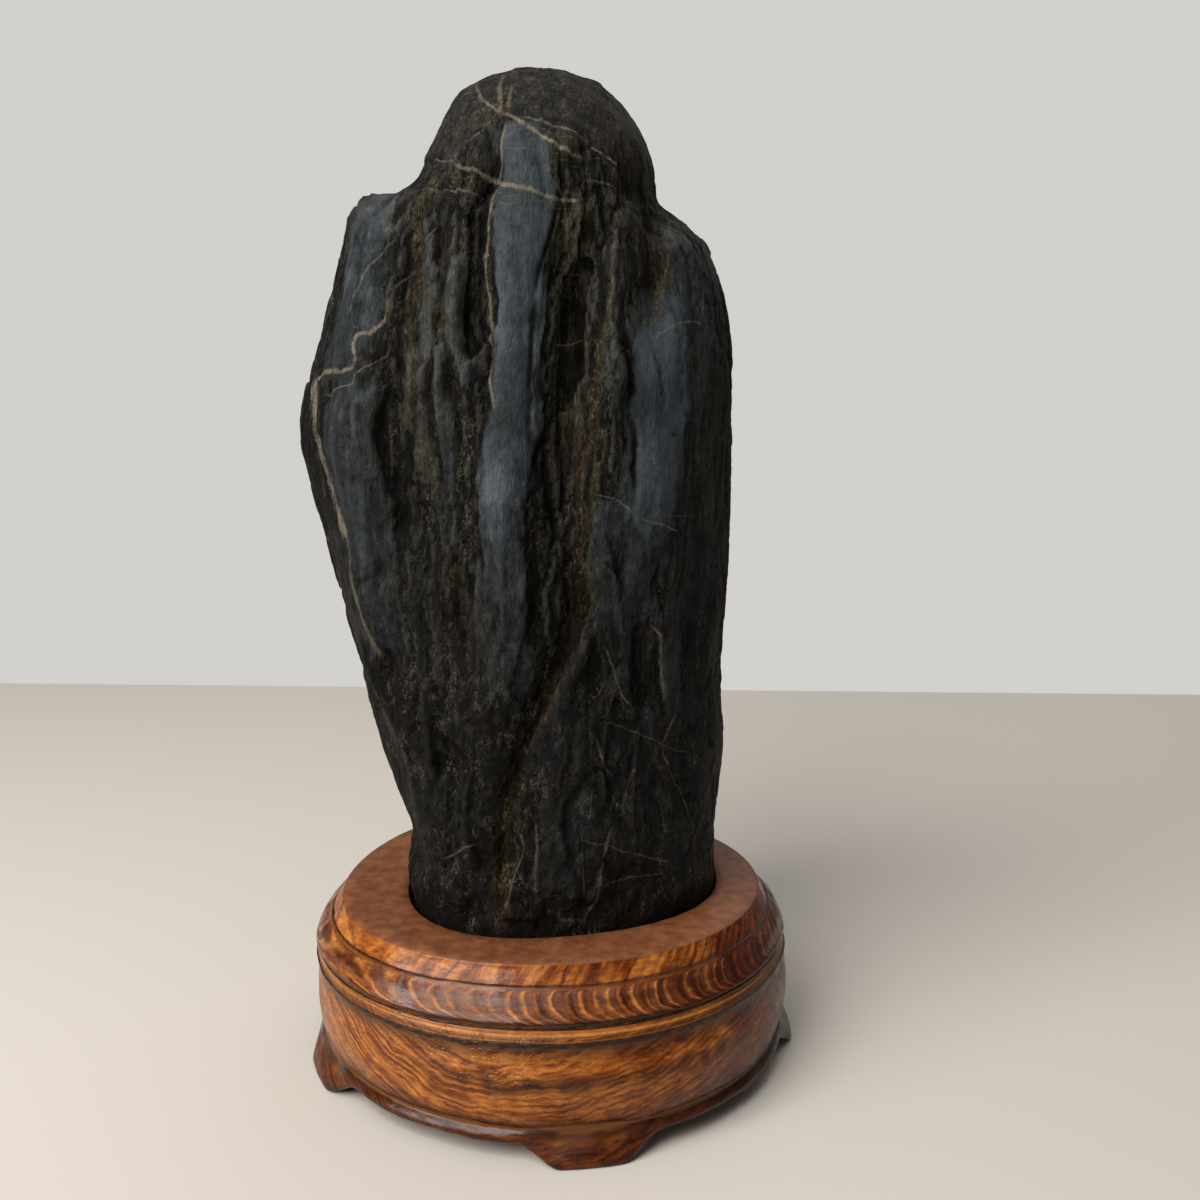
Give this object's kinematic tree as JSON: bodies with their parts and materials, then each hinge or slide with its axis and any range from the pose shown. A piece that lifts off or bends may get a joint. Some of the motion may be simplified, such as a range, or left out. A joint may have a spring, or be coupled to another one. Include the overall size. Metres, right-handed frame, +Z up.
{
  "type": "scholar's rock on a carved wooden stand",
  "caption": "Upright dark slaty viewing stone with a domed head, fluted face and pale veins, its foot sunk in the seat of a round moulded hardwood stand on cloud-shaped feet.",
  "frame": {"origin": "on the ground, in the middle of the whole object's box", "axes": "+Z up; -Y is the way the rock's face looks; +X is to the right of that face as it is looked at"},
  "size_m": [0.1402, 0.1452, 0.2726],
  "materials": {
    "stone": "hand-rubbed dark slaty stone, satin on its smooth faces and matt in its clefts, with pale and rust-brown veins",
    "stained_wood": "red-brown stained hardwood, varnished on its carved sides and matt on its rim"
  },
  "bodies": {
    "root": {"rock": "stone", "stand": "stained_wood"}
  },
  "joints": []
}
